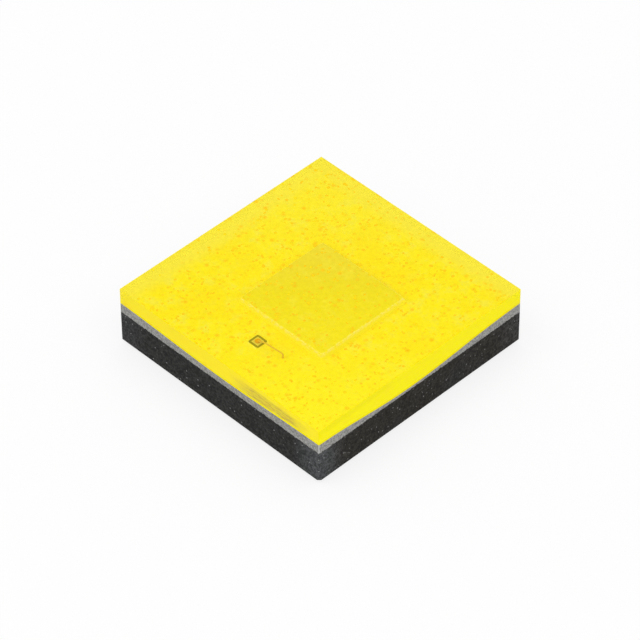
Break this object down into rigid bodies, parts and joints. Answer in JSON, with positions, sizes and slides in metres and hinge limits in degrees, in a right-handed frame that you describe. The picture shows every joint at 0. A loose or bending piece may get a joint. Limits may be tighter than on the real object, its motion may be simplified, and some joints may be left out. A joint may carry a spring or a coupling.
{
  "type": "surface-mount led",
  "caption": "Square flat-topped surface-mount LED: dark ceramic carrier with solder lands, grey reflector fill, yellow phosphor coat over the chip and a clear silicone cover.",
  "frame": {"origin": "centre of the underside of the solder lands, the face that meets the board", "axes": "+Z out of the light-emitting face; +X from the anode land to the cathode land; the protection diode is on the -Y side of the chip"},
  "size_m": [0.0024, 0.0024, 0.0006],
  "materials": {
    "carrier_ceramic": "sawn aluminium nitride, matt",
    "gold_plate": "gold-plated copper, satin",
    "copper": "plated copper, satin",
    "solder": "solder, satin",
    "chip": "polished crystal",
    "silicon": "sawn silicon",
    "silver_adhesive": "silver-filled adhesive, satin",
    "aluminium_contact": "bright",
    "gold_wire": "bright gold",
    "reflector_silicone": "filled silicone, matt, sawn at the sides",
    "phosphor": "phosphor-filled silicone, grainy",
    "clear_silicone": "clear silicone, smooth on top, sawn at the sides"
  },
  "bodies": {
    "root": {"ceramic_carrier": "carrier_ceramic", "thermal_land": "gold_plate", "anode_land": "gold_plate", "cathode_land": "gold_plate", "anode_via_front": "copper", "anode_via_rear": "copper", "cathode_via_front": "copper", "cathode_via_rear": "copper", "anode_trace": "copper", "cathode_trace": "copper", "chip_anode_joint": "solder", "chip_cathode_joint": "solder", "led_chip": "chip", "diode_attach": "silver_adhesive", "protection_diode": "silicon", "diode_bond_land": "aluminium_contact", "bond_wire": "gold_wire", "reflector_fill": "reflector_silicone", "phosphor_coat": "phosphor", "clear_cover": "clear_silicone"}
  },
  "joints": []
}
